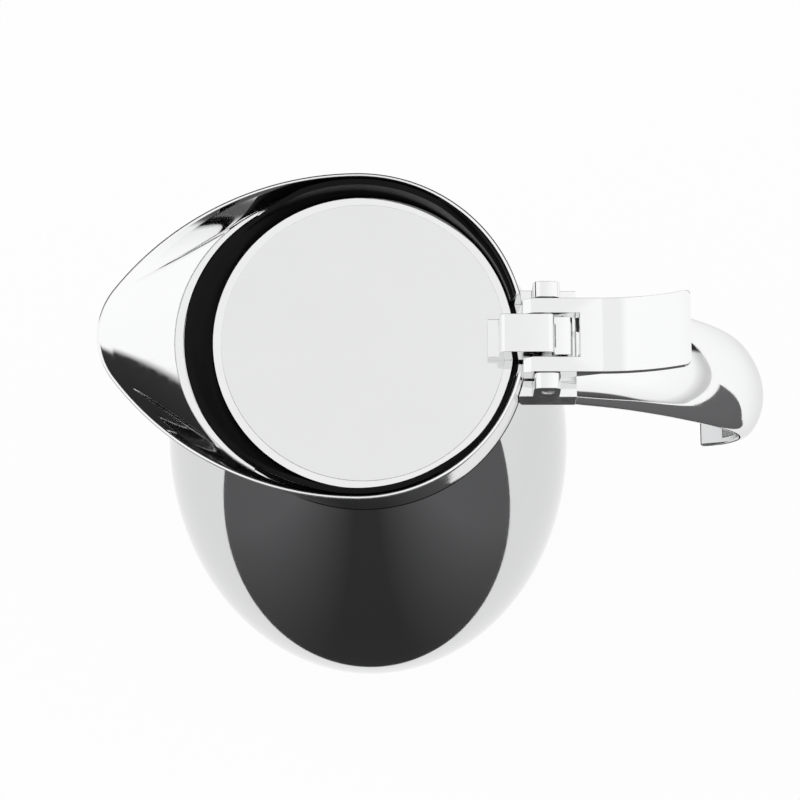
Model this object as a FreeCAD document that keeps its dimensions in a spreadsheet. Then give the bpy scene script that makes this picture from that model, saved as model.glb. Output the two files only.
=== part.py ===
import FreeCAD, Part
import math
import os
from types import SimpleNamespace

import Sketcher

# Driving dimensions in millimetres. The origin is the middle of the foot, on the table.
# +Z is up, +X points to the handle and -X to the spout.
SIZES = {
    # clearances
    "overrun": 2.0,
    "seat_gap": 0.2,
    "swing_gap": 0.3,
    "pin_clearance": 0.05,
    "screw_clearance": 0.1,
    # outer shell
    "foot_lift": 3.2,
    "shell_wall": 0.9,
    "shell_base_radius": 54.3,
    "shell_lip_radius": 42.0,
    "belly_radius": 61.0,
    "belly_height": 88.0,
    "neck_radius": 43.4,
    "seam_height": 230.0,
    # spout collar
    "rim_height": 246.0,
    "rim_wall": 1.1,
    "rim_radius": 43.9,
    "rim_shift": 1.5,
    "spout_tip_radius": 20.0,
    "spout_tip_shift": 49.2,
    "spout_flank_radius": 80.0,
    "spigot_height": 8.0,
    "spigot_wall": 1.4,
    "notch_height": 236.0,
    "notch_half": 10.6,
    # pour ring and trim bead
    "pour_top": 239.0,
    "pour_low": 231.5,
    "pour_low_radius": 41.0,
    "pour_radius": 42.4,
    "pour_tip_radius": 40.0,
    "pour_tip_shift": 7.0,
    "pour_flank_radius": 55.0,
    "pour_lip": 1.6,
    "pour_wall_top": 245.4,
    "pour_ramp_high": 16.0,
    "pour_ramp_low": 32.0,
    "pour_back_top": 242.6,
    "pour_back_start": 20.0,
    "pour_back_end": 30.0,
    "bead_width": 2.9,
    "bead_depth": 1.6,
    "bead_inset": 0.4,
    "bead_end": 28.0,
    "lid_well_radius": 39.9,
    "seat_height": 233.5,
    "core_well_radius": 34.2,
    "core_well_floor": 227.5,
    "pour_sleeve_radius": 36.4,
    "pour_sleeve_low": 224.4,
    "mouth_radius": 28.6,
    # vacuum flask
    "flask_floor": 19.0,
    "flask_radius": 56.5,
    "flask_wall": 1.6,
    "flask_gap": 4.9,
    "flask_shoulder_height": 200.0,
    "flask_neck_radius": 34.0,
    "flask_top": 222.0,
    "flask_tip_drop": 5.5,
    "flask_tip_radius": 1.2,
    "flask_tip_root": 3.2,
    "spacer_radius": 4.0,
    # base
    "foot_pad_radius": 39.0,
    "foot_pad_height": 1.9,
    "foot_pad_inset": 0.8,
    "base_flange_radius": 44.0,
    "base_spigot_top": 10.0,
    "base_floor": 2.4,
    "base_ring_radius": 45.4,
    "cushion_bore": 10.0,
    "cushion_radius": 30.0,
    # hinge
    "pin_x": 48.3,
    "pin_z": 240.3,
    "pin_radius": 1.8,
    "hinge_half": 14.4,
    "ear_inner_half": 10.2,
    "ear_front": 44.4,
    "ear_back": 51.4,
    "ear_top": 245.2,
    "ear_corner": 2.0,
    "bracket_back": 56.0,
    "bracket_low": 226.5,
    "bracket_deck": 235.5,
    "channel_floor": 232.4,
    # lever
    "lever_half": 9.9,
    "fork_half": 5.9,
    "lever_front": 41.7,
    "lever_nose_low": 236.4,
    "lever_nose_top": 243.4,
    "lever_hub_radius": 4.3,
    "lever_top": 245.0,
    "fork_end": 56.5,
    "lever_end": 84.4,
    "lever_rise": 8.6,
    "lever_plate": 2.6,
    "lever_corner": 1.4,
    "lift_bar_width": 1.8,
    "lift_bar_top": 238.1,
    # lid
    "lid_top": 238.0,
    "lid_radius": 39.5,
    "lid_bevel_width": 2.1,
    "lid_bevel_drop": 0.1,
    "lid_edge_low": 234.3,
    "lid_side_wall": 1.4,
    "disc_thickness": 0.8,
    "cap_plate": 0.9,
    "core_flange": 1.0,
    "core_flange_radius": 37.8,
    "core_top_radius": 32.6,
    "core_low_radius": 31.2,
    "core_low": 228.5,
    "core_wall": 1.6,
    "gasket_outer": 37.0,
    "gasket_height": 1.5,
    # lid arm
    "arm_half": 5.1,
    "arm_tab_front": 32.6,
    "arm_tab_top": 241.2,
    "arm_block_front": 35.4,
    "arm_block_back": 49.8,
    "arm_top": 247.0,
    "arm_round": 1.6,
    "arm_tail_back": 54.6,
    "arm_tail_top": 243.9,
    "arm_hub_radius": 4.2,
    "arm_bridge_low": 238.5,
    "spring_bay_half": 3.1,
    "spring_bay_radius": 4.0,
    # return spring
    "spring_wire": 0.8,
    "spring_radius": 2.85,
    "spring_pitch": 1.25,
    "spring_leg": 3.5,
    # handle
    "handle_reach": 49.5,
    "handle_drop": 78.5,
    "handle_half": 14.3,
    "handle_crown": 8.5,
    "handle_side_round": 4.6,
    "handle_wall": 1.8,
    "cover_thickness": 1.6,
    # screws
    "handle_screw_radius": 1.5,
    "handle_screw_half": 6.0,
    "handle_screw_height": 229.5,
    "handle_screw_start": 47.0,
    "handle_screw_end": 65.0,
    "bracket_screw_radius": 1.2,
    "bracket_screw_half": 11.6,
    "bracket_screw_height": 228.2,
    "bracket_screw_start": 38.3,
    "bracket_screw_end": 51.0,
    "arm_screw_radius": 1.0,
    "arm_screw_half": 2.9,
    "arm_screw_x": 34.8,
    "arm_screw_rise": 4.2,
    "screw_head_depth": 1.6,
    "arm_screw_head_depth": 0.9,
}

# Handle stations from the hinge block to the free end: shares of the reach, of the drop
# and of the half width, share of the crown, and the path's pitch in degrees below level.
HANDLE_STATION_SHARES = [
    (0.00, 0.00, 1.00, 1.00, 0.0),
    (0.28, 0.072, 1.01, 1.00, 24.0),
    (0.58, 0.20, 1.01, 1.00, 38.0),
    (0.83, 0.37, 0.97, 0.97, 55.0),
    (0.965, 0.55, 0.88, 0.90, 75.0),
    (1.00, 0.72, 0.77, 0.82, 93.0),
    (0.95, 0.88, 0.66, 0.74, 112.0),
    (0.84, 1.00, 0.56, 0.66, 126.0),
]
# The first station of the handle's hollow, and the first past its end
HOLLOW_FROM, HOLLOW_TO = 1, 7
# Where the four arcs of the round sections meet, in degrees from +X
ROUND_SPLITS = (93.0, 150.0)
# The share of the thumb plate's length that stays level before it sweeps up
THUMB_LEVEL_SHARE = 0.2
LEVER_FOOT_SHARES = (0.8, 0.6)
ARM_FOOT_SHARES = (0.96, 0.28)
SCREW_HEAD_SHARE = 1.7
SMALL_HEAD_SHARE = 1.9
BRACKET_FRONT_SHARE = 0.8
MIDDLE_SHARE = 0.5
SPRING_TURNS = 4
SPACERS = 3

doc = FreeCAD.newDocument("thermal_carafe")
sheet = doc.addObject("Spreadsheet::Sheet", "Sheet")
for row, (name, value) in enumerate(SIZES.items(), start=1):
    sheet.set(f"A{row}", name)
    sheet.set(f"B{row}", str(value))
    sheet.setAlias(f"B{row}", name)
doc.recompute()


class Length:
    """A size that carries its worth and the sheet expression that gives it."""

    def __init__(self, worth, text):
        self.worth = worth
        self.text = text

    def __add__(self, other):
        other = as_length(other)
        return Length(self.worth + other.worth, f"({self.text} + {other.text})")

    def __sub__(self, other):
        other = as_length(other)
        return Length(self.worth - other.worth, f"({self.text} - {other.text})")

    def __mul__(self, factor):
        return Length(self.worth * factor, f"({self.text} * {factor})")

    def __neg__(self):
        return Length(-self.worth, f"(-1 * {self.text})")


def as_length(thing):
    return thing if isinstance(thing, Length) else Length(float(thing), str(thing))


size = SimpleNamespace(**{name: Length(sheet.get(name), f"Sheet.{name}") for name in SIZES})
ZERO = as_length(0)
PARTS = []


def tangent_radius(run, rise):
    """The radius of an arc that starts along its run and ends by a rise across it."""
    worth = (run.worth ** 2 + rise.worth ** 2) / (2 * rise.worth)
    return Length(worth, f"(({run.text} ^ 2 + {rise.text} ^ 2) / (2 * {rise.text}))")


def bind(thing, prop, length):
    thing.setExpression(prop, as_length(length).text)


def new_body(label):
    body = doc.addObject("PartDesign::Body", label)
    body.Label = label
    PARTS.append(body)
    return body


def plane(body, role):
    return next(item for item in body.Origin.OriginFeatures if item.Role == role)


def new_sketch(body, role, lift=None):
    """A sketch on one of the body's origin planes, lifted along the plane's normal."""
    sketch = body.newObject("Sketcher::SketchObject", f"{body.Name}_sketch")
    sketch.AttachmentSupport = [(plane(body, role), "")]
    sketch.MapMode = "FlatFace"
    if lift is not None:
        bind(sketch, "AttachmentOffset.Base.z", lift)
    return sketch


def fix_point(sketch, geo, pos, x, y):
    """Tie a point to its two coordinates."""
    for kind, length, axis in (("DistanceX", as_length(x), -2), ("DistanceY", as_length(y), -1)):
        if length.text == "0":
            sketch.addConstraint(Sketcher.Constraint("PointOnObject", geo, pos, axis))
            continue
        index = sketch.addConstraint(Sketcher.Constraint(kind, -1, 1, geo, pos, length.worth))
        sketch.renameConstraint(index, f"{kind}_{geo}_{pos}")
        bind(sketch, f"Constraints.{kind}_{geo}_{pos}", length)


def fix_radius(sketch, geo, radius):
    index = sketch.addConstraint(Sketcher.Constraint("Radius", geo, radius.worth))
    sketch.renameConstraint(index, f"Radius_{geo}")
    bind(sketch, f"Constraints.Radius_{geo}", radius)


def arc_between(start, end, radius, bulge):
    """The short arc from start to end. bulge is 1 on the right of the way, -1 on the left."""
    chord = end - start
    middle = (start + end) * MIDDLE_SHARE
    side = FreeCAD.Vector(chord.y, -chord.x, 0).normalize() * bulge
    back = math.sqrt(radius * radius - chord.Length * chord.Length / 4)
    crest = middle + side * (radius - back)
    return Part.Arc(start, crest, end)


def outline(sketch, corners, arcs=None):
    """A closed outline. arcs gives, by the number of a side, its radius and bulge."""
    arcs = arcs or {}
    points = [FreeCAD.Vector(as_length(x).worth, as_length(y).worth, 0) for x, y in corners]
    first = sketch.GeometryCount
    ends = []
    for side, start in enumerate(points):
        end = points[(side + 1) % len(points)]
        if side in arcs:
            radius, bulge = arcs[side]
            geo = sketch.addGeometry(arc_between(start, end, radius.worth, bulge))
            ends.append((1, 2) if bulge > 0 else (2, 1))
        else:
            geo = sketch.addGeometry(Part.LineSegment(start, end))
            ends.append((1, 2))
    for side, (x, y) in enumerate(corners):
        geo = first + side
        before = (side - 1) % len(corners)
        sketch.addConstraint(
            Sketcher.Constraint("Coincident", first + before, ends[before][1], geo, ends[side][0])
        )
        fix_point(sketch, geo, ends[side][0], x, y)
        if side in arcs:
            fix_radius(sketch, geo, arcs[side][0])


def hole(sketch, x, y, radius):
    centre = FreeCAD.Vector(x.worth, y.worth, 0)
    geo = sketch.addGeometry(Part.Circle(centre, FreeCAD.Vector(0, 0, 1), radius.worth))
    fix_point(sketch, geo, 3, x, y)
    fix_radius(sketch, geo, radius)


def revolve(body, corners, arcs=None, kind="PartDesign::Revolution"):
    """Turn a half section, given as radius and height, round the upright axis."""
    sketch = new_sketch(body, "XZ_Plane")
    outline(sketch, corners, arcs)
    turned = body.newObject(kind, f"{body.Name}_turned")
    turned.Profile = sketch
    turned.ReferenceAxis = (sketch, ["V_Axis"])
    turned.Angle = 360
    return turned


def extrude(body, role, corners, width, arcs=None, holes=(), kind="PartDesign::Pad"):
    """Draw an outline on an origin plane and carry it the same way to both sides."""
    sketch = new_sketch(body, role)
    outline(sketch, corners, arcs)
    for x, y, radius in holes:
        hole(sketch, x, y, radius)
    block = body.newObject(kind, f"{body.Name}_block")
    block.Profile = sketch
    block.SideType = "Symmetric"
    bind(block, "Length", width)
    return block


def cut_box(body, low, high):
    """Take out a box between two corners."""
    cut = body.newObject("PartDesign::SubtractiveBox", f"{body.Name}_notch")
    for prop, axis, start, end in zip(("Length", "Width", "Height"), "xyz", low, high):
        bind(cut, prop, as_length(end) - start)
        bind(cut, f"Placement.Base.{axis}", start)
    return cut


def drill(body, place, radius, depth, along):
    """Drill a round hole from place along X or Z, and the same on the other side of the middle."""
    for mirror in (1, -1):
        cut = body.newObject("PartDesign::SubtractiveCylinder", f"{body.Name}_hole")
        bind(cut, "Radius", radius)
        bind(cut, "Height", depth)
        if along == "x":
            turn = FreeCAD.Rotation(FreeCAD.Vector(0, 1, 0), 90)
            cut.Placement = FreeCAD.Placement(FreeCAD.Vector(), turn)
        for axis, length in zip("xyz", (place[0], place[1] * mirror, place[2])):
            bind(cut, f"Placement.Base.{axis}", length)


def round_section(sketch, radius):
    """A circle in four arcs, split where the spout's sections are split."""
    angles = [-ROUND_SPLITS[0], ROUND_SPLITS[0], ROUND_SPLITS[1], 360 - ROUND_SPLITS[1]]
    for number, start in enumerate(angles):
        end = angles[(number + 1) % len(angles)]
        circle = Part.Circle(FreeCAD.Vector(), FreeCAD.Vector(0, 0, 1), radius.worth)
        geo = sketch.addGeometry(Part.ArcOfCircle(circle, math.radians(start), math.radians(end)))
        sketch.addConstraint(Sketcher.Constraint("Coincident", geo, 3, -1, 1))
        if number:
            sketch.addConstraint(Sketcher.Constraint("Coincident", geo - 1, 2, geo, 1))
        height = radius * math.sin(math.radians(start))
        index = sketch.addConstraint(Sketcher.Constraint("DistanceY", -1, 1, geo, 1, height.worth))
        sketch.renameConstraint(index, f"split_{geo}")
        bind(sketch, f"Constraints.split_{geo}", height)
        if number == 0:
            fix_radius(sketch, geo, radius)


def spout_section(sketch, back_radius, back_shift, tip_radius, tip_shift, flank_radius):
    """A pear outline: a back arc and a tip arc, joined by two wide flank arcs."""
    back = FreeCAD.Vector(-back_shift.worth, 0, 0)
    tip = FreeCAD.Vector(-tip_shift.worth, 0, 0)
    to_back = flank_radius.worth - back_radius.worth
    to_tip = flank_radius.worth - tip_radius.worth
    span = back.x - tip.x
    along = (to_back ** 2 - to_tip ** 2 + span ** 2) / (2 * span)
    across = math.sqrt(to_back ** 2 - along ** 2)
    flank = FreeCAD.Vector(back.x - along, -across, 0)
    shoulder = back + (back - flank).normalize() * back_radius.worth
    cheek = tip + (tip - flank).normalize() * tip_radius.worth
    bow = flank + ((shoulder - flank) + (cheek - flank)).normalize() * flank_radius.worth

    def flip(point):
        return FreeCAD.Vector(point.x, -point.y, 0)

    heel = back + FreeCAD.Vector(back_radius.worth, 0, 0)
    nose = tip - FreeCAD.Vector(tip_radius.worth, 0, 0)
    for three in (
        (flip(shoulder), heel, shoulder),
        (shoulder, bow, cheek),
        (cheek, nose, flip(cheek)),
        (flip(cheek), flip(bow), flip(shoulder)),
    ):
        sketch.addGeometry(Part.Arc(*three))
    for geo in range(4):
        sketch.addConstraint(Sketcher.Constraint("Tangent", geo, 2, (geo + 1) % 4, 1))
    fix_point(sketch, 0, 3, -back_shift, ZERO)
    fix_point(sketch, 2, 3, -tip_shift, ZERO)
    for geo, radius in enumerate((back_radius, flank_radius, tip_radius, flank_radius)):
        fix_radius(sketch, geo, radius)


def loft(body, sketches, kind="PartDesign::AdditiveLoft", ruled=False):
    form = body.newObject(kind, f"{body.Name}_loft")
    form.Profile = sketches[0]
    form.Sections = sketches[1:]
    form.Ruled = ruled
    return form


# Outer shell: an egg of two tangent arcs, with a flat lip turned in at the base
def shell_side(inset):
    """The arcs' corners from base to seam, at a depth inside the outer face."""
    return [
        (size.shell_base_radius - inset, size.foot_lift + inset),
        (size.belly_radius - inset, size.belly_height),
        (size.neck_radius - inset, size.seam_height),
    ]


def build_outer_shell():
    body = new_body("outer_shell")
    outside = shell_side(ZERO)
    inside = shell_side(size.shell_wall)
    lip = [
        (size.shell_lip_radius, size.foot_lift + size.shell_wall),
        (size.shell_lip_radius, size.foot_lift),
    ]
    low_fall = size.belly_radius - size.shell_base_radius
    low_run = size.belly_height - size.foot_lift
    high = tangent_radius(size.seam_height - size.belly_height, size.belly_radius - size.neck_radius)
    arcs = {
        0: (tangent_radius(low_run, low_fall), 1),
        1: (high, 1),
        3: (high, -1),
        4: (tangent_radius(low_run - size.shell_wall, low_fall), -1),
    }
    revolve(body, outside + inside[::-1] + lip, arcs)
    drill_bracket_holes(body)


def drill_bracket_holes(body):
    place = (
        size.bracket_screw_start - size.overrun,
        size.bracket_screw_half,
        size.bracket_screw_height,
    )
    depth = size.bracket_screw_end - size.bracket_screw_start + size.overrun + size.screw_clearance
    drill(body, place, size.bracket_screw_radius + size.screw_clearance, depth, "x")


# Spout collar: round at the seam, pear shaped at the rim, with a stepped bore
def rim_section(body, inset, height):
    sketch = new_sketch(body, "XY_Plane", height)
    spout_section(
        sketch,
        size.rim_radius - inset,
        size.rim_shift,
        size.spout_tip_radius - inset,
        size.spout_tip_shift,
        size.spout_flank_radius - inset,
    )
    return sketch


def pour_section(body, grow, height, reach=ZERO):
    """The pour ring's outline, grown all round and, at the spout, by a further reach."""
    sketch = new_sketch(body, "XY_Plane", height)
    spout_section(
        sketch,
        size.pour_radius + grow,
        size.rim_shift,
        size.pour_tip_radius + grow,
        size.pour_tip_shift + reach,
        size.pour_flank_radius + grow,
    )
    return sketch


def round_at(body, radius, height):
    sketch = new_sketch(body, "XY_Plane", height)
    round_section(sketch, radius)
    return sketch


def cut_arm_notch(body):
    low = (size.pin_x * MIDDLE_SHARE, -size.notch_half, size.notch_height)
    high = (size.pin_x, size.notch_half, size.rim_height + size.overrun)
    cut_box(body, low, high)


def build_spout_collar():
    body = new_body("spout_collar")
    loft(body, [
        round_at(body, size.neck_radius, size.seam_height),
        rim_section(body, ZERO, size.rim_height),
    ])
    spigot_radius = size.neck_radius - size.shell_wall - size.seat_gap
    spigot_low = size.seam_height - size.spigot_height
    root = size.seam_height + size.seat_gap
    revolve(body, [
        (ZERO, spigot_low),
        (spigot_radius, spigot_low),
        (spigot_radius, root),
        (ZERO, root),
    ])
    bore = spigot_radius - size.spigot_wall
    revolve(body, [
        (ZERO, spigot_low - size.overrun),
        (bore, spigot_low - size.overrun),
        (bore, size.pour_low),
        (ZERO, size.pour_low),
    ], kind="PartDesign::Groove")
    loft(body, [
        round_at(body, size.pour_low_radius + size.seat_gap, size.pour_low - size.seat_gap),
        pour_section(body, size.seat_gap, size.pour_top),
    ], "PartDesign::SubtractiveLoft")
    bead_floor = size.pour_top - size.bead_depth
    loft(body, [
        pour_section(body, -size.bead_inset, bead_floor, size.bead_width),
        pour_section(body, -size.bead_inset, size.pour_top, size.bead_width),
    ], "PartDesign::SubtractiveLoft")
    loft(body, [
        pour_section(body, -size.bead_inset, size.pour_top, size.bead_width),
        rim_section(body, size.rim_wall, size.rim_height),
    ], "PartDesign::SubtractiveLoft")
    cut_arm_notch(body)
    drill_bracket_holes(body)


def build_spout_trim():
    """A crescent bead that fills the step between the trough and the pour ring."""
    body = new_body("spout_trim")
    floor = size.pour_top - size.bead_depth
    inset = -size.bead_inset - size.seat_gap
    loft(body, [
        pour_section(body, inset, floor, size.bead_width),
        pour_section(body, inset, size.pour_top + size.seat_gap, size.bead_width),
    ])
    loft(body, [
        pour_section(body, size.seat_gap, floor - size.overrun),
        pour_section(body, size.seat_gap, size.pour_top + size.overrun),
    ], "PartDesign::SubtractiveLoft")
    reach = size.rim_radius * 2
    cut_box(
        body,
        (-size.bead_end, -reach, size.pour_low),
        (reach, reach, size.rim_height),
    )


def build_pour_ring():
    """A funnel round the lid: its wall ramps down to a shelf at the spout and to a step at the hinge."""
    body = new_body("pour_ring")
    loft(body, [
        round_at(body, size.pour_low_radius, size.pour_low),
        pour_section(body, ZERO, size.pour_top),
    ])
    loft(body, [
        pour_section(body, -size.bead_inset - size.seat_gap, size.pour_top),
        pour_section(body, ZERO, size.rim_height),
    ])
    reach = size.rim_radius * 2
    clear = size.rim_height + size.overrun
    extrude(body, "XZ_Plane", [
        (-reach, size.pour_top),
        (-size.pour_ramp_low, size.pour_top),
        (-size.pour_ramp_high, size.pour_wall_top),
        (size.pour_back_start, size.pour_wall_top),
        (size.pour_back_end, size.pour_back_top),
        (reach, size.pour_back_top),
        (reach, clear),
        (-reach, clear),
    ], reach * 2, kind="PartDesign::Pocket")
    root = size.pour_low + size.seat_gap
    revolve(body, [
        (ZERO, size.pour_sleeve_low),
        (size.pour_sleeve_radius, size.pour_sleeve_low),
        (size.pour_sleeve_radius, root),
        (ZERO, root),
    ])
    revolve(body, [
        (ZERO, size.pour_sleeve_low - size.overrun),
        (size.mouth_radius, size.pour_sleeve_low - size.overrun),
        (size.mouth_radius, size.pour_sleeve_low),
        (size.core_well_radius, size.core_well_floor),
        (size.core_well_radius, size.seat_height),
        (size.lid_well_radius, size.seat_height),
        (size.lid_well_radius, clear),
        (ZERO, clear),
    ], kind="PartDesign::Groove")
    loft(body, [
        round_at(body, size.lid_well_radius + size.seat_gap, size.notch_height),
        pour_section(body, -size.pour_lip, size.pour_top),
    ], "PartDesign::SubtractiveLoft")
    loft(body, [
        pour_section(body, -size.pour_lip, size.pour_top),
        pour_section(body, -size.pour_lip, size.rim_height),
    ], "PartDesign::SubtractiveLoft")
    cut_arm_notch(body)


def build_neck_seal():
    body = new_body("neck_seal")
    low = size.flask_top
    high = size.pour_sleeve_low
    revolve(body, [
        (size.mouth_radius, low),
        (size.flask_neck_radius, low),
        (size.pour_sleeve_radius, high),
        (size.mouth_radius, high),
    ])


# Vacuum flask: two glass walls, each a round bottom, a long shoulder arc and a neck
def glass_wall(inset, top):
    """Corners and arcs of a flask's half section, at a depth inside the outer face."""
    radius = size.flask_radius - inset
    waist = size.flask_floor + size.flask_radius
    neck = size.flask_neck_radius - inset
    corners = [
        (ZERO, size.flask_floor + inset),
        (radius, waist),
        (neck, size.flask_shoulder_height),
        (neck, top),
        (ZERO, top),
    ]
    rise = size.flask_shoulder_height - waist
    fall = radius - neck
    return corners, {0: (radius, 1), 1: (tangent_radius(rise, fall), 1)}


def build_flask_outer():
    body = new_body("flask_outer")
    top = size.flask_top - size.flask_wall
    revolve(body, *glass_wall(ZERO, top))
    tip = size.flask_floor - size.flask_tip_drop
    root = size.flask_floor + size.flask_wall * MIDDLE_SHARE
    revolve(body, [
        (ZERO, tip),
        (size.flask_tip_radius, tip),
        (size.flask_tip_root, root),
        (ZERO, root),
    ])
    revolve(body, *glass_wall(size.flask_wall, top + size.overrun), kind="PartDesign::Groove")


def build_flask_inner():
    body = new_body("flask_inner")
    inset = size.flask_wall + size.flask_gap
    revolve(body, *glass_wall(inset, size.flask_top))
    lip_low = size.flask_top - size.flask_wall
    revolve(body, [
        (ZERO, lip_low),
        (size.flask_neck_radius, lip_low),
        (size.flask_neck_radius, size.flask_top),
        (ZERO, size.flask_top),
    ])
    inside = glass_wall(inset + size.flask_wall, size.flask_top + size.overrun)
    revolve(body, *inside, kind="PartDesign::Groove")


def build_flask_spacers():
    body = new_body("flask_spacers")
    pad = body.newObject("PartDesign::AdditiveCylinder", "spacer_pad")
    outer = size.flask_radius - size.flask_wall - size.swing_gap
    inner = size.flask_radius - size.flask_wall - size.flask_gap
    bind(pad, "Radius", size.spacer_radius)
    bind(pad, "Height", outer - inner - size.seat_gap)
    pad.Placement = FreeCAD.Placement(FreeCAD.Vector(), FreeCAD.Rotation(FreeCAD.Vector(0, 1, 0), 90))
    bind(pad, "Placement.Base.x", inner + size.seat_gap)
    bind(pad, "Placement.Base.z", size.flask_floor + size.flask_radius)
    ring = body.newObject("PartDesign::PolarPattern", "spacer_ring")
    ring.Originals = [pad]
    ring.Axis = (plane(body, "Z_Axis"), [""])
    ring.Angle = 360
    ring.Occurrences = SPACERS
    body.Tip = ring


def build_flask_cushion():
    """A rubber ring whose top is hollowed to the flask's round bottom."""
    body = new_body("flask_cushion")
    seat = size.flask_radius + size.seat_gap
    middle = size.flask_floor + size.flask_radius

    def seat_height(radius):
        worth = middle.worth - math.sqrt(seat.worth ** 2 - radius.worth ** 2)
        text = f"({middle.text} - sqrt({seat.text} ^ 2 - {radius.text} ^ 2))"
        return Length(worth, text)

    revolve(body, [
        (size.cushion_bore, size.base_spigot_top),
        (size.cushion_radius, size.base_spigot_top),
        (size.cushion_radius, seat_height(size.cushion_radius)),
        (size.cushion_bore, seat_height(size.cushion_bore)),
    ], {2: (seat, -1)})


def build_base_ring():
    body = new_body("base_ring")
    low = size.foot_lift + size.shell_wall
    revolve(body, [
        (size.shell_lip_radius, low),
        (size.base_ring_radius, low),
        (size.base_ring_radius, size.base_spigot_top),
        (size.shell_lip_radius, size.base_spigot_top),
    ])


def build_base_plug():
    """A flanged screw plug with a recess for the foot pad and a ribbed cup above."""
    body = new_body("base_plug")
    spigot = size.shell_lip_radius - size.seat_gap
    pad_top = size.foot_pad_height
    low = pad_top - size.foot_pad_inset
    revolve(body, [
        (ZERO, pad_top),
        (size.foot_pad_radius + size.seat_gap, pad_top),
        (size.foot_pad_radius + size.seat_gap, low),
        (size.base_flange_radius, low),
        (size.base_flange_radius, size.foot_lift),
        (spigot, size.foot_lift),
        (spigot, size.base_spigot_top),
        (ZERO, size.base_spigot_top),
    ])
    revolve(body, [
        (ZERO, pad_top + size.base_floor),
        (size.cushion_bore, pad_top + size.base_floor),
        (size.cushion_bore, size.base_spigot_top + size.overrun),
        (ZERO, size.base_spigot_top + size.overrun),
    ], kind="PartDesign::Groove")
    revolve(body, [
        (size.cushion_radius, pad_top + size.base_floor),
        (spigot - size.base_floor, pad_top + size.base_floor),
        (spigot - size.base_floor, size.base_spigot_top + size.overrun),
        (size.cushion_radius, size.base_spigot_top + size.overrun),
    ], kind="PartDesign::Groove")


def build_foot_pad():
    body = new_body("foot_pad")
    revolve(body, [
        (ZERO, ZERO),
        (size.foot_pad_radius - size.foot_pad_inset, ZERO),
        (size.foot_pad_radius, size.foot_pad_inset),
        (size.foot_pad_radius, size.foot_pad_height),
        (ZERO, size.foot_pad_height),
    ])


# Hinge: a bracket with two ears behind the collar, and the pin through them
def build_hinge_bracket():
    body = new_body("hinge_bracket")
    front = size.neck_radius * BRACKET_FRONT_SHARE
    corner = size.ear_corner
    extrude(body, "XZ_Plane", [
        (front, size.bracket_low),
        (size.bracket_back, size.bracket_low),
        (size.bracket_back, size.bracket_deck),
        (size.ear_back, size.bracket_deck),
        (size.ear_back, size.ear_top - corner),
        (size.ear_back - corner, size.ear_top),
        (size.ear_front + corner, size.ear_top),
        (size.ear_front, size.ear_top - corner),
        (size.ear_front, size.notch_height),
        (front, size.notch_height),
    ], size.hinge_half * 2, {4: (corner, 1), 6: (corner, 1)}, [
        (size.pin_x, size.pin_z, size.pin_radius + size.pin_clearance),
    ])
    cut_box(
        body,
        (front - size.overrun, -size.ear_inner_half, size.channel_floor),
        (size.bracket_back + size.overrun, size.ear_inner_half, size.rim_height),
    )
    hug_low = size.neck_radius + size.shell_wall
    hug_seam = size.neck_radius + size.seat_gap
    hug_rim = size.rim_radius - size.rim_shift + size.seat_gap
    revolve(body, [
        (ZERO, size.bracket_low - size.overrun),
        (hug_low, size.bracket_low - size.overrun),
        (hug_low, size.bracket_low),
        (hug_seam, size.seam_height),
        (hug_rim, size.rim_height),
        (ZERO, size.rim_height),
    ], kind="PartDesign::Groove")
    drill_bracket_holes(body)
    drill_handle_holes(body)
    head = (
        size.neck_radius,
        size.handle_screw_half,
        size.handle_screw_height,
    )
    head_depth = size.handle_screw_start + size.screw_head_depth - size.neck_radius
    drill(body, head, size.handle_screw_radius * SCREW_HEAD_SHARE + size.screw_clearance, head_depth, "x")


def drill_handle_holes(body):
    place = (size.handle_screw_start, size.handle_screw_half, size.handle_screw_height)
    depth = size.handle_screw_end - size.handle_screw_start + size.screw_clearance
    drill(body, place, size.handle_screw_radius + size.screw_clearance, depth, "x")


def build_hinge_pin():
    body = new_body("hinge_pin")
    sketch = new_sketch(body, "XZ_Plane")
    hole(sketch, size.pin_x, size.pin_z, size.pin_radius)
    rod = body.newObject("PartDesign::Pad", "pin_rod")
    rod.Profile = sketch
    rod.SideType = "Symmetric"
    bind(rod, "Length", (size.hinge_half - size.seat_gap) * 2)


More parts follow.
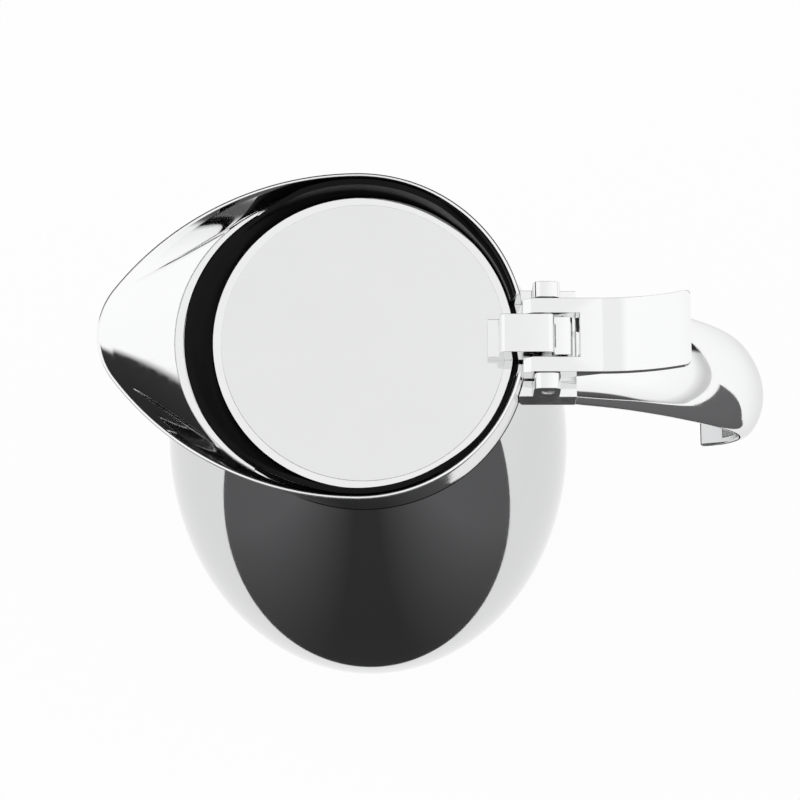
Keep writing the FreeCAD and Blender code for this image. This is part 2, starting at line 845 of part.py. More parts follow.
# Thumb lever: two cheeks beside the lid arm, a swept plate, and a bar that lifts the arm
def build_thumb_lever():
    body = new_body("thumb_lever")
    length = size.lever_end - size.fork_end
    sweep_start = size.fork_end + length * THUMB_LEVEL_SHARE
    over = [
        (sweep_start, size.lever_top),
        (size.lever_end, size.lever_top + size.lever_rise),
    ]
    under = [(x, z - size.lever_plate) for x, z in over[::-1]]
    sweep = tangent_radius(size.lever_end - sweep_start, size.lever_rise)
    hub = size.lever_hub_radius
    far_share, near_share = LEVER_FOOT_SHARES
    back_foot = (size.pin_x + hub * far_share, size.pin_z - hub * near_share)
    front_foot = (size.pin_x - hub * near_share, size.pin_z - hub * far_share)
    corners = [
        (size.lever_front, size.lever_nose_low),
        (size.lever_front, size.lever_nose_top),
        (size.ear_front, size.lever_top),
    ] + over + under + [back_foot, front_foot]
    arcs = {3: (sweep, 1), 5: (sweep, -1), 7: (hub, -1)}
    extrude(body, "XZ_Plane", corners, size.lever_half * 2, arcs, [
        (size.pin_x, size.pin_z, size.pin_radius + size.pin_clearance),
    ])
    cut_box(
        body,
        (size.lever_front - size.overrun, -size.fork_half, size.channel_floor),
        (size.fork_end, size.fork_half, size.rim_height + size.overrun),
    )
    extrude(body, "XZ_Plane", [
        (size.lever_front, size.lever_nose_low),
        (size.lever_front + size.lift_bar_width, size.lever_nose_low),
        (size.lever_front + size.lift_bar_width, size.lift_bar_top),
        (size.lever_front, size.lift_bar_top),
    ], (size.fork_half + size.seat_gap) * 2)
    reach = size.lever_top + size.lever_rise + size.overrun
    round_plate_corners(body, size.lever_end, size.lever_half, size.lever_corner, reach)


def flip(arcs):
    """Arcs of an outline that is drawn clockwise bulge to the other side."""
    return {side: (radius, -bulge) for side, (radius, bulge) in arcs.items()}


def round_plate_corners(body, end, half, radius, height):
    """Cut the two corners at the far end of a plate to a radius, seen from above."""
    for side in (1, -1):
        corners = [
            (end - radius, half * side),
            (end, (half - radius) * side),
            (end + size.overrun, (half - radius) * side),
            (end + size.overrun, (half + size.overrun) * side),
            (end - radius, (half + size.overrun) * side),
        ]
        arcs = {0: (radius, -side)}
        extrude(body, "XY_Plane", corners, height * 2, arcs, kind="PartDesign::Pocket")


# Lid: cap, inlaid disc, plug, gasket, foam and the arm that carries them
def build_lid_cap():
    body = new_body("lid_cap")
    disc_seat = size.lid_top - size.disc_thickness
    under = disc_seat - size.cap_plate
    side = size.lid_radius - size.lid_side_wall
    bevel_top = size.lid_radius - size.lid_bevel_width
    revolve(body, [
        (ZERO, under),
        (side, under),
        (side, size.lid_edge_low),
        (size.lid_radius, size.lid_edge_low),
        (size.lid_radius, size.lid_top - size.lid_bevel_drop),
        (bevel_top, size.lid_top),
        (bevel_top, disc_seat),
        (ZERO, disc_seat),
    ])
    drill_arm_holes(body)


def drill_arm_holes(body):
    under = size.lid_top - size.disc_thickness - size.cap_plate
    place = (size.arm_screw_x, size.arm_screw_half, under)
    radius = size.arm_screw_radius + size.screw_clearance
    drill(body, place, radius, size.arm_screw_rise + size.screw_clearance, "z")


def build_lid_disc():
    body = new_body("lid_disc")
    radius = size.lid_radius - size.lid_bevel_width - size.seat_gap
    seat = size.lid_top - size.disc_thickness
    revolve(body, [(ZERO, seat), (radius, seat), (radius, size.lid_top), (ZERO, size.lid_top)])
    drill_arm_holes(body)


def core_levels():
    top = size.lid_top - size.disc_thickness - size.cap_plate
    return top, top - size.core_flange


def build_lid_core():
    body = new_body("lid_core")
    top, flange_low = core_levels()
    wall = size.core_wall
    revolve(body, [
        (ZERO, size.core_low),
        (size.core_low_radius, size.core_low),
        (size.core_top_radius, flange_low),
        (size.core_flange_radius, flange_low),
        (size.core_flange_radius, top),
        (size.core_top_radius - wall, top),
        (size.core_low_radius - wall, size.core_low + wall),
        (ZERO, size.core_low + wall),
    ])
    place = (size.arm_screw_x, size.arm_screw_half, flange_low - size.overrun)
    radius = size.arm_screw_radius * SMALL_HEAD_SHARE + size.screw_clearance
    drill(body, place, radius, size.core_flange + size.overrun * 2, "z")


def build_lid_insulation():
    body = new_body("lid_insulation")
    top = core_levels()[0]
    radius = size.core_low_radius - size.core_wall - size.seat_gap
    low = size.core_low + size.core_wall
    revolve(body, [(ZERO, low), (radius, low), (radius, top), (ZERO, top)])


def build_lid_gasket():
    body = new_body("lid_gasket")
    flange_low = core_levels()[1]
    inner = size.core_top_radius + size.seat_gap
    low = flange_low - size.gasket_height
    revolve(body, [
        (inner, low),
        (size.gasket_outer, low),
        (size.gasket_outer, flange_low),
        (inner, flange_low),
    ])


def build_lid_arm():
    body = new_body("lid_arm")
    hub = size.arm_hub_radius
    top_round = size.arm_round
    far_share, near_share = ARM_FOOT_SHARES
    back_foot = (size.pin_x + hub * far_share, size.pin_z - hub * near_share)
    front_foot = (size.pin_x - hub * far_share, size.pin_z - hub * near_share)
    corners = [
        (size.arm_tab_front, size.lid_top),
        (size.arm_tab_front, size.arm_tab_top),
        (size.arm_block_front, size.arm_tab_top),
        (size.arm_block_front, size.arm_top - top_round),
        (size.arm_block_front + top_round, size.arm_top),
        (size.arm_block_back - top_round, size.arm_top),
        (size.arm_block_back, size.arm_top - top_round),
        (size.arm_block_back, size.arm_tail_top),
        (size.arm_tail_back - top_round, size.arm_tail_top),
        (size.arm_tail_back, size.arm_tail_top - top_round),
        back_foot,
        front_foot,
        (size.lever_front + size.lift_bar_width, size.arm_bridge_low),
        (size.lid_radius, size.arm_bridge_low),
        (size.lid_radius - size.lid_bevel_width, size.lid_top),
    ]
    arcs = {3: (top_round, 1), 5: (top_round, 1), 8: (top_round, 1), 10: (hub, 1)}
    extrude(body, "XZ_Plane", corners, size.arm_half * 2, flip(arcs), [
        (size.pin_x, size.pin_z, size.pin_radius + size.pin_clearance),
    ])
    bay = size.spring_bay_radius
    extrude(body, "XZ_Plane", [
        (size.pin_x - bay, size.pin_z - bay - size.overrun),
        (size.pin_x + bay, size.pin_z - bay - size.overrun),
        (size.pin_x + bay, size.pin_z),
        (size.pin_x, size.pin_z + bay),
        (size.pin_x - bay, size.pin_z),
    ], size.spring_bay_half * 2, {2: (bay, 1), 3: (bay, 1)}, kind="PartDesign::Pocket")
    drill_arm_holes(body)


# Return spring: one wound wire round the pin, with a leg under the arm and a leg in the channel
def biarc(start, heading, end, new_heading):
    """Two arcs that leave start along heading and reach end along new_heading."""
    gap = end - start
    both = heading + new_heading
    square = 2 * (1 - heading.dot(new_heading))
    pull = gap.dot(both)
    reach = (-pull + math.sqrt(pull ** 2 + square * gap.dot(gap))) / square
    meet = (start + end + (heading - new_heading) * reach) * MIDDLE_SHARE
    return [arc_from(start, heading, meet), arc_from(end, -new_heading, meet)]


def arc_from(start, heading, end):
    chord = end - start
    along = chord * (heading.dot(chord) / chord.dot(chord))
    lean = heading - along
    turn = math.atan2(lean.Length, along.Length)
    crest = (start + end) * MIDDLE_SHARE + lean.normalize() * (chord.Length / 2 * math.tan(turn / 2))
    return Part.Arc(start, crest, end).toShape()


def build_return_spring():
    spring = doc.addObject("Part::Feature", "return_spring")
    spring.Label = "return_spring"
    PARTS.append(spring)
    radius = size.spring_radius.worth
    pitch = size.spring_pitch.worth
    foot = size.pin_z.worth - size.channel_floor.worth - size.swing_gap.worth
    leg = size.spring_leg.worth
    middle = FreeCAD.Vector(size.pin_x.worth, 0, size.pin_z.worth)
    climb = pitch / (2 * math.pi)

    def on_coil(angle):
        across = (angle / (2 * math.pi) - SPRING_TURNS / 2) * pitch
        return middle + FreeCAD.Vector(radius * math.sin(angle), across, -radius * math.cos(angle))

    def heading(angle):
        way = FreeCAD.Vector(radius * math.cos(angle), climb, radius * math.sin(angle))
        return way.normalize()

    quarters = [math.pi / 2 * number for number in range(1, 4 * SPRING_TURNS + 1)]
    first = on_coil(quarters[0])
    last = on_coil(quarters[-1])
    start = first - heading(quarters[0]) * foot
    edges = [Part.LineSegment(start, first).toShape()]
    for before, after in zip(quarters, quarters[1:]):
        edges += biarc(on_coil(before), heading(before), on_coil(after), heading(after))
    edges.append(Part.LineSegment(last, last + heading(quarters[-1]) * leg).toShape())
    path = Part.Wire(Part.__sortEdges__(edges))
    ring = Part.Wire(Part.Circle(start, heading(quarters[0]), size.spring_wire.worth / 2).toShape())
    spring.Shape = path.makePipeShell([ring], True, False)
    spring.Placement = FreeCAD.Placement()
    samples = [on_coil(math.pi / 18 * number) for number in range(36 * SPRING_TURNS + 1)]
    least = min(
        samples[a].distanceToPoint(samples[b])
        for a in range(len(samples))
        for b in range(a + 18, len(samples))
    )
    print("least gap between spring turns", round(least - size.spring_wire.worth, 3))


# Handle: a crowned hook lofted through its stations, hollow on the inner side
def handle_station(body, number):
    """A sketch across the handle's path at a station, with its half width and crown."""
    along, down, width, crown, pitch = HANDLE_STATION_SHARES[number]
    sketch = body.newObject("Sketcher::SketchObject", f"{body.Name}_station")
    sketch.AttachmentSupport = [(plane(body, "YZ_Plane"), "")]
    sketch.MapMode = "FlatFace"
    turn = FreeCAD.Rotation(FreeCAD.Vector(1, 0, 0), pitch)
    sketch.AttachmentOffset = FreeCAD.Placement(FreeCAD.Vector(), turn)
    bind(sketch, "AttachmentOffset.Base.z", size.bracket_back + size.handle_reach * along)
    bind(sketch, "AttachmentOffset.Base.y", size.bracket_low - size.handle_drop * down)
    return sketch, size.handle_half * width, size.handle_crown * crown


def crowned(sketch, half, crown, corner, skirt, spring_line=ZERO):
    """A flat foot, straight sides up to the spring line, rounded shoulders and a crowned top."""
    level = spring_line.worth
    flat = half.worth - corner.worth
    lift = crown.worth - level - corner.worth
    drop = (flat ** 2 - lift ** 2) / (2 * lift)
    lean = FreeCAD.Vector(flat, drop, 0).normalize()
    right = FreeCAD.Vector(half.worth, level, 0)
    shoulder = FreeCAD.Vector(flat, level, 0) + lean * corner.worth
    left = FreeCAD.Vector(-right.x, level, 0)
    off_shoulder = FreeCAD.Vector(-shoulder.x, shoulder.y, 0)
    half_way = (FreeCAD.Vector(1, 0, 0) + lean).normalize()
    bend = FreeCAD.Vector(flat, level, 0) + half_way * corner.worth
    top = FreeCAD.Vector(0, crown.worth, 0)
    foot_right = FreeCAD.Vector(half.worth, -skirt.worth, 0)
    foot_left = FreeCAD.Vector(-half.worth, -skirt.worth, 0)
    sketch.addGeometry(Part.LineSegment(foot_left, foot_right))
    sketch.addGeometry(Part.LineSegment(foot_right, right))
    sketch.addGeometry(Part.Arc(right, bend, shoulder))
    sketch.addGeometry(Part.Arc(shoulder, top, off_shoulder))
    sketch.addGeometry(Part.Arc(off_shoulder, FreeCAD.Vector(-bend.x, bend.y, 0), left))
    sketch.addGeometry(Part.LineSegment(left, foot_left))
    sketch.addConstraint(Sketcher.Constraint("Coincident", 0, 2, 1, 1))
    for geo in (1, 2, 3, 4):
        sketch.addConstraint(Sketcher.Constraint("Tangent", geo, 2, geo + 1, 1))
    fix_point(sketch, 0, 1, -half, -skirt)
    fix_point(sketch, 1, 1, half, -skirt)
    sketch.addConstraint(Sketcher.Constraint("Coincident", 5, 2, 0, 1))
    fix_point(sketch, 2, 1, half, spring_line)
    fix_point(sketch, 4, 2, -half, spring_line)
    fix_radius(sketch, 2, corner)
    fix_radius(sketch, 4, corner)
    index = sketch.addConstraint(Sketcher.Constraint("DistanceY", -1, 1, 3, 3, level - drop))
    sketch.renameConstraint(index, "crown_centre")
    rise = (crown - spring_line - corner).text
    run = (half - corner).text
    centre = f"{spring_line.text} + ({rise} ^ 2 - {run} ^ 2) / (2 * {rise})"
    sketch.setExpression("Constraints.crown_centre", centre)


def build_handle_shell():
    body = new_body("handle_shell")
    outside = []
    for number in range(len(HANDLE_STATION_SHARES)):
        sketch, half, crown = handle_station(body, number)
        corner = size.handle_side_round * HANDLE_STATION_SHARES[number][3]
        crowned(sketch, half, crown, corner, size.seat_gap)
        outside.append(sketch)
    loft(body, outside)
    hollow = []
    for number in range(HOLLOW_FROM, HOLLOW_TO):
        sketch, half, crown = handle_station(body, number)
        wall = size.handle_wall
        corner = size.handle_side_round * HANDLE_STATION_SHARES[number][3] - wall
        crowned(sketch, half - wall, crown - wall, corner, size.overrun, size.cover_thickness)
        hollow.append(sketch)
    loft(body, hollow, "PartDesign::SubtractiveLoft")
    drill_handle_holes(body)


def build_handle_cover():
    body = new_body("handle_cover")
    stations = []
    for number in range(HOLLOW_FROM, HOLLOW_TO):
        sketch, half = handle_station(body, number)[:2]
        inner = half - size.handle_wall - size.seat_gap
        outline(sketch, [
            (-inner, ZERO),
            (inner, ZERO),
            (inner, size.cover_thickness),
            (-inner, size.cover_thickness),
        ])
        stations.append(sketch)
    loft(body, stations)


# Screws: a flat head and a plain shank, one on each side of the middle
def screw_pair(label, place, radius, head_radius, head_depth, length, along):
    body = new_body(label)
    pieces = []
    turn = FreeCAD.Rotation(FreeCAD.Vector(0, 1, 0), 90) if along == "x" else FreeCAD.Rotation()
    for name, thick, run in (
        ("head", head_radius, head_depth),
        ("shank", radius, length),
    ):
        piece = body.newObject("PartDesign::AdditiveCylinder", f"{label}_{name}")
        piece.Placement = FreeCAD.Placement(FreeCAD.Vector(), turn)
        bind(piece, "Radius", thick)
        bind(piece, "Height", run)
        for axis, length_along in zip("xyz", place):
            bind(piece, f"Placement.Base.{axis}", length_along)
        pieces.append(piece)
    pair = body.newObject("PartDesign::Mirrored", f"{label}_pair")
    pair.Originals = pieces
    pair.MirrorPlane = (plane(body, "XZ_Plane"), [""])
    body.Tip = pair


def build_screws():
    screw_pair(
        "handle_screws",
        (size.handle_screw_start, size.handle_screw_half, size.handle_screw_height),
        size.handle_screw_radius,
        size.handle_screw_radius * SCREW_HEAD_SHARE,
        size.screw_head_depth,
        size.handle_screw_end - size.handle_screw_start,
        "x",
    )
    screw_pair(
        "bracket_screws",
        (
            size.bracket_screw_start - size.screw_head_depth,
            size.bracket_screw_half,
            size.bracket_screw_height,
        ),
        size.bracket_screw_radius,
        size.bracket_screw_radius * SCREW_HEAD_SHARE,
        size.screw_head_depth,
        size.bracket_screw_end - size.bracket_screw_start + size.screw_head_depth,
        "x",
    )
    top = core_levels()[0]
    screw_pair(
        "lid_arm_screws",
        (size.arm_screw_x, size.arm_screw_half, top - size.arm_screw_head_depth),
        size.arm_screw_radius,
        size.arm_screw_radius * SMALL_HEAD_SHARE,
        size.arm_screw_head_depth,
        size.arm_screw_rise + size.arm_screw_head_depth,
        "z",
    )


build_outer_shell()
build_spout_collar()
build_spout_trim()
build_pour_ring()
build_neck_seal()
build_flask_outer()
build_flask_inner()
build_flask_spacers()
build_flask_cushion()
build_base_ring()
build_base_plug()
build_foot_pad()
build_hinge_bracket()
build_hinge_pin()
build_thumb_lever()
build_lid_cap()
build_lid_disc()
build_lid_core()
build_lid_insulation()
build_lid_gasket()
build_lid_arm()
build_return_spring()
build_handle_shell()
build_handle_cover()
build_screws()
doc.recompute()

faults = [
    item.Label
    for item in doc.Objects
    if "Invalid" in item.State or "Error" in item.State
]
faults += [part.Label for part in PARTS if part.Shape.isNull() or not part.Shape.isValid()]
if faults:
    raise RuntimeError(f"these did not build: {faults}")

os.makedirs("parts", exist_ok=True)
for part in PARTS:
    shape = part.Shape
    print(part.Label, len(shape.Solids), "solids", round(shape.Volume, 1))
    shape.exportStep(f"parts/{part.Label}.step")
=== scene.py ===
"""Looks of the thermal carafe: polished pieces, their materials, a white studio and the photo's camera."""
import math

import bmesh
import bpy
from mathutils import Euler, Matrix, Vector


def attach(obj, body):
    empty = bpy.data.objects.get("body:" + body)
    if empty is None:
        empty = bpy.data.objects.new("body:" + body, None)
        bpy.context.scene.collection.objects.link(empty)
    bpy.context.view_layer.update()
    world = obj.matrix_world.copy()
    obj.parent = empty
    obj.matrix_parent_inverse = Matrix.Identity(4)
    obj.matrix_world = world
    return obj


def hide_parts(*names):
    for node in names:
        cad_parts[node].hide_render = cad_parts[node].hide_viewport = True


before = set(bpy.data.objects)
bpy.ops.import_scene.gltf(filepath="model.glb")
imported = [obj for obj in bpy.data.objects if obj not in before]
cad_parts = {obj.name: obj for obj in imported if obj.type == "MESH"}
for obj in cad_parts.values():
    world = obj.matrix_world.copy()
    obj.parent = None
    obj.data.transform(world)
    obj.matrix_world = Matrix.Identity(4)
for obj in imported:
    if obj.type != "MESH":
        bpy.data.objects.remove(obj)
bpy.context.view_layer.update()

# Sizes are in millimetres, as in the CAD model. Values for Blender's own inputs are in metres.
MM = 0.001
WELD_METRES = 1e-7
ROUND_STEPS = 224
BEVEL_STEPS = 4
SMOOTH_ANGLE = math.radians(32)
BRACKET_LOW = 226.5
SEAM_HEIGHT = 230
SEAM_EDGE_RADIUS = 43.28
LID_TOP = 238
BEAD_HEIGHT = 239
RIM_HEIGHT = 246
PIN = (48.3, 240.3)
PIN_RADIUS = 1.8
PIN_BORE_RADIUS = 1.85
PIN_BORE_HALF = 30


# Meshes
def mesh_piece(name, points, faces):
    """A mesh piece from points in millimetres, welded, with its normals turned outwards."""
    mesh = bpy.data.meshes.new(name)
    mesh.from_pydata([Vector(point) * MM for point in points], [], faces)
    form = bmesh.new()
    form.from_mesh(mesh)
    bmesh.ops.remove_doubles(form, verts=form.verts, dist=WELD_METRES)
    bmesh.ops.recalc_face_normals(form, faces=form.faces)
    form.to_mesh(mesh)
    form.free()
    piece = bpy.data.objects.new(name, mesh)
    bpy.context.scene.collection.objects.link(piece)
    return piece


def skin(name, rings, closed):
    """Quads between rings of points. A closed skin runs back to its first ring, others get caps."""
    count = len(rings[0])
    last = len(rings) - 1
    points = [point for ring in rings for point in ring]
    pairs = [(row, row + 1) for row in range(last)]
    faces = []
    if closed:
        pairs.append((last, 0))
    else:
        faces.append(tuple(range(count)))
        faces.append(tuple(range(last * count, (last + 1) * count)))
    for low, high in pairs:
        for column in range(count):
            beside = (column + 1) % count
            faces.append((
                low * count + column,
                low * count + beside,
                high * count + beside,
                high * count + column,
            ))
    return mesh_piece(name, points, faces)


def turned(name, profile, steps=ROUND_STEPS):
    """A closed profile of radius and height, turned about the carafe's axis."""
    rings = []
    for radius, height in profile:
        ring = []
        for step in range(steps):
            angle = 2 * math.pi * step / steps
            ring.append((radius * math.cos(angle), radius * math.sin(angle), height))
        rings.append(ring)
    return skin(name, rings, True)


def arc(centre, radius, start, end, steps):
    """Points on an arc, from a start angle to an end angle in degrees."""
    points = []
    for step in range(steps + 1):
        angle = math.radians(start + (end - start) * step / steps)
        points.append((
            centre[0] + radius * math.cos(angle),
            centre[1] + radius * math.sin(angle),
        ))
    return points


def circle(centre, radius, steps):
    return arc(centre, radius, 0, 360, steps)[:-1]


def prism(name, outline, half):
    """An outline in X and Z, as wide as half on each side of the middle."""
    rings = [[(x, y, z) for x, z in outline] for y in (-half, half)]
    return skin(name, rings, False)


def block(name, low, high):
    """A box between two corners."""
    outline = [(low[0], low[2]), (high[0], low[2]), (high[0], high[2]), (low[0], high[2])]
    rings = [[(x, y, z) for x, z in outline] for y in (low[1], high[1])]
    return skin(name, rings, False)


def settle(piece):
    """Turn a piece's modifiers into its mesh."""
    bpy.context.view_layer.update()
    graph = bpy.context.evaluated_depsgraph_get()
    mesh = bpy.data.meshes.new_from_object(piece.evaluated_get(graph))
    piece.modifiers.clear()
    piece.data = mesh
    return piece


def cut(piece, *tools):
    """Take each tool's solid from a piece, and remove the tool."""
    for tool in tools:
        change = piece.modifiers.new("cut", "BOOLEAN")
        change.operation = "DIFFERENCE"
        change.solver = "EXACT"
        change.object = tool
        settle(piece)
        bpy.data.objects.remove(tool)
    return piece


def soften(piece, width):
    """Round the sharp edges of a piece to a width in millimetres."""
    change = piece.modifiers.new("soften", "BEVEL")
    change.width = width * MM
    change.segments = BEVEL_STEPS
    change.limit_method = "ANGLE"
    change.angle_limit = SMOOTH_ANGLE
    return settle(piece)


def pin_hole(name):
    return prism(name, circle(PIN, PIN_BORE_RADIUS, 48), PIN_BORE_HALF)


# Smooth shading up to an angle, as a modifier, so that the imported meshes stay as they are
def smooth_group():
    group = bpy.data.node_groups.new("smooth_by_angle", "GeometryNodeTree")
    group.interface.new_socket("Geometry", in_out="INPUT", socket_type="NodeSocketGeometry")
    group.interface.new_socket("Geometry", in_out="OUTPUT", socket_type="NodeSocketGeometry")
    nodes, links = group.nodes, group.links
    source = nodes.new("NodeGroupInput")
    weld = nodes.new("GeometryNodeMergeByDistance")
    weld.inputs["Distance"].default_value = WELD_METRES
    faces = nodes.new("GeometryNodeSetShadeSmooth")
    edges = nodes.new("GeometryNodeSetShadeSmooth")
    edges.domain = "EDGE"
    edges.inputs["Shade Smooth"].default_value = False
    angle = nodes.new("GeometryNodeInputMeshEdgeAngle")
    sharp = nodes.new("FunctionNodeCompare")
    sharp.operation = "GREATER_THAN"
    sharp.inputs["B"].default_value = SMOOTH_ANGLE
    target = nodes.new("NodeGroupOutput")
    links.new(source.outputs["Geometry"], weld.inputs["Geometry"])
    links.new(weld.outputs["Geometry"], faces.inputs["Geometry"])
    links.new(faces.outputs["Geometry"], edges.inputs["Geometry"])
    links.new(angle.outputs["Unsigned Angle"], sharp.inputs["A"])
    links.new(sharp.outputs["Result"], edges.inputs["Selection"])
    links.new(edges.outputs["Geometry"], target.inputs["Geometry"])
    return group


SMOOTH = smooth_group()


def shade(piece):
    """Smooth shading that leaves large flat faces flat."""
    change = piece.modifiers.new("smooth_by_angle", "NODES")
    change.node_group = SMOOTH
    flats = piece.modifiers.new("flat_faces_stay_flat", "WEIGHTED_NORMAL")
    flats.keep_sharp = True


# Materials: grain and cloud scales are in 1/m, edge is the rounding of sharp edges in millimetres
NOISE_LOW = 0.3
NOISE_HIGH = 0.7
GRAIN_DETAIL = 3
CLOUD_SCALE = 38
CLOUD_DETAIL = 4
RELIEF_METRES = 0.0001
EDGE_SAMPLES = 4
LOOKS = {
    "polished_body": {
        "colour": (0.75, 0.753, 0.758), "metal": 1, "rough": (0.03, 0.06), "grain": 240, "bump": 0.001,
        "edge": 0, "tint": 0.012, "graze": 0.82,
    },
    "chrome": {
        "colour": (0.965, 0.967, 0.97), "metal": 1, "rough": (0.03, 0.09), "grain": 420, "bump": 0.01,
        "edge": 0.2, "tint": 0.012, "graze": 0.8,
    },
    "lid_plate": {
        "colour": (0.91, 0.912, 0.915), "metal": 1, "rough": (0.09, 0.12), "grain": 900, "bump": 0.012,
        "edge": 0, "tint": 0.006, "stretch": (0.04, 1, 1),
    },
    "black_plastic": {
        "colour": (0.007, 0.007, 0.0075), "metal": 0, "rough": (0.3, 0.4), "grain": 1900, "bump": 0.04,
        "edge": 0.35, "tint": 0.12, "sheen": 0.05,
    },
    "grey_plastic": {
        "colour": (0.55, 0.55, 0.555), "metal": 0, "rough": (0.42, 0.56), "grain": 1500, "bump": 0.1,
        "edge": 0.3, "tint": 0.06,
    },
    "silicone": {
        "colour": (0.62, 0.62, 0.6), "metal": 0, "rough": (0.5, 0.62), "grain": 1100, "bump": 0.08,
        "edge": 0.3, "tint": 0.05,
    },
    "rubber": {
        "colour": (0.035, 0.035, 0.035), "metal": 0, "rough": (0.62, 0.8), "grain": 1300, "bump": 0.25,
        "edge": 0.3, "tint": 0.15,
    },
    "foam": {
        "colour": (0.82, 0.8, 0.74), "metal": 0, "rough": (0.8, 0.95), "grain": 900, "bump": 0.6,
        "edge": 0.3, "tint": 0.06,
    },
    "flask_glass": {
        "colour": (0.8, 0.8, 0.79), "metal": 1, "rough": (0.04, 0.1), "grain": 160, "bump": 0.012,
        "edge": 0, "tint": 0.03,
    },
    "steel": {
        "colour": (0.72, 0.72, 0.73), "metal": 1, "rough": (0.16, 0.28), "grain": 800, "bump": 0.04,
        "edge": 0.15, "tint": 0.04,
    },
}
SLOT_NODES = {
    "polished_body": ["outer_shell"],
    "chrome": [
        "spout_collar", "spout_trim", "lid_cap", "lid_arm", "thumb_lever", "hinge_bracket", "handle_shell",
    ],
    "lid_plate": ["lid_disc"],
    "black_plastic": ["pour_ring", "lid_core", "base_plug", "base_ring"],
    "grey_plastic": ["handle_cover"],
    "silicone": ["neck_seal", "lid_gasket"],
    "rubber": ["flask_cushion", "foot_pad", "flask_spacers"],
    "foam": ["lid_insulation"],
    "flask_glass": ["flask_outer", "flask_inner"],
    "steel": ["hinge_pin", "return_spring", "handle_screws", "bracket_screws", "lid_arm_screws"],
}


def noise(nodes, links, vector, scale, detail):
    texture = nodes.new("ShaderNodeTexNoise")
    texture.inputs["Scale"].default_value = scale
    texture.inputs["Detail"].default_value = detail
    links.new(vector, texture.inputs["Vector"])
    return texture.outputs["Fac"]


def finish(
    name, colour, metal, rough, grain, bump, edge, tint,
    stretch=(1, 1, 1), sheen=0.5, graze=1,
):
    """A surface whose gloss and fine relief vary with the grain, and whose colour varies in clouds."""
    material = bpy.data.materials.new(name)
    material.use_nodes = True
    nodes, links = material.node_tree.nodes, material.node_tree.links
    surface = nodes["Principled BSDF"]
    surface.inputs["Metallic"].default_value = metal
    surface.inputs["Specular IOR Level"].default_value = sheen
    surface.inputs["Specular Tint"].default_value = (graze, graze, graze, 1)
    place = nodes.new("ShaderNodeTexCoord")
    scale = nodes.new("ShaderNodeMapping")
    scale.inputs["Scale"].default_value = stretch
    links.new(place.outputs["Object"], scale.inputs["Vector"])
    fine = noise(nodes, links, scale.outputs["Vector"], grain, GRAIN_DETAIL)
    broad = noise(nodes, links, place.outputs["Object"], CLOUD_SCALE, CLOUD_DETAIL)
    gloss = nodes.new("ShaderNodeMapRange")
    gloss.inputs["From Min"].default_value = NOISE_LOW
    gloss.inputs["From Max"].default_value = NOISE_HIGH
    gloss.inputs["To Min"].default_value = rough[0]
    gloss.inputs["To Max"].default_value = rough[1]
    links.new(fine, gloss.inputs["Value"])
    links.new(gloss.outputs["Result"], surface.inputs["Roughness"])
    hue = nodes.new("ShaderNodeValToRGB")
    dark, light = hue.color_ramp.elements
    dark.position, light.position = NOISE_LOW, NOISE_HIGH
    dark.color = [channel * (1 - tint) for channel in colour] + [1]
    light.color = [channel * (1 + tint) for channel in colour] + [1]
    links.new(broad, hue.inputs["Fac"])
    links.new(hue.outputs["Color"], surface.inputs["Base Color"])
    relief = nodes.new("ShaderNodeBump")
    relief.inputs["Strength"].default_value = bump
    relief.inputs["Distance"].default_value = RELIEF_METRES
    links.new(fine, relief.inputs["Height"])
    if edge:
        rim = nodes.new("ShaderNodeBevel")
        rim.samples = EDGE_SAMPLES
        rim.inputs["Radius"].default_value = edge * MM
        links.new(rim.outputs["Normal"], relief.inputs["Normal"])
    links.new(relief.outputs["Normal"], surface.inputs["Normal"])
    return material


FINISHES = {name: finish(name, **look) for name, look in LOOKS.items()}


def dress(piece, slot):
    piece.data.materials.clear()
    piece.data.materials.append(FINISHES[slot])
    shade(piece)


for slot, names in SLOT_NODES.items():
    for name in names:
        dress(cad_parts[name], slot)


def stand_in(piece, body, slot, *nodes):
    """A finished piece that rides a body, in place of the CAD nodes that it details."""
    dress(piece, slot)
    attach(piece, body)
    if nodes:
        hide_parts(*nodes)


# Outer shell: the egg of two tangent arcs, with a rounded foot edge and a dark seam under the collar
BELLY = (61.0, 88.0)
LOWER_RADIUS = 540.0
UPPER_RADIUS = 581.6
SHELL_WALL = 0.9
SHELL_LOW = 3.8
SHELL_HIGH = 229.85
SHELL_INSIDE_LOW = 4.1
SHELL_FOOT = [(42, 4.1), (42, 3.2), (53.8, 3.2), (54.2, 3.35)]
SEAM_MIDDLE = (43.33, SEAM_HEIGHT)
SEAM_THICKNESS = 0.2


def shell_radius(height):
    bend = UPPER_RADIUS if height > BELLY[1] else LOWER_RADIUS
    return BELLY[0] - bend + math.sqrt(bend ** 2 - (height - BELLY[1]) ** 2)


def levels(low, high, steps):
    return [low + (high - low) * step / steps for step in range(steps + 1)]


def build_shell():
    outside = [(shell_radius(z), z) for z in levels(SHELL_LOW, SHELL_HIGH, 90)]
    top = [(SEAM_EDGE_RADIUS, SEAM_HEIGHT)]
    inside = [(shell_radius(z) - SHELL_WALL, z) for z in levels(SEAM_HEIGHT, SHELL_INSIDE_LOW, 40)]
    piece = turned("shell_polished", outside + top + inside + SHELL_FOOT)
    stand_in(piece, "jug", "polished_body", "outer_shell")
    seam = turned("seam_gasket", circle(SEAM_MIDDLE, SEAM_THICKNESS, 10))
    stand_in(seam, "jug", "black_plastic")


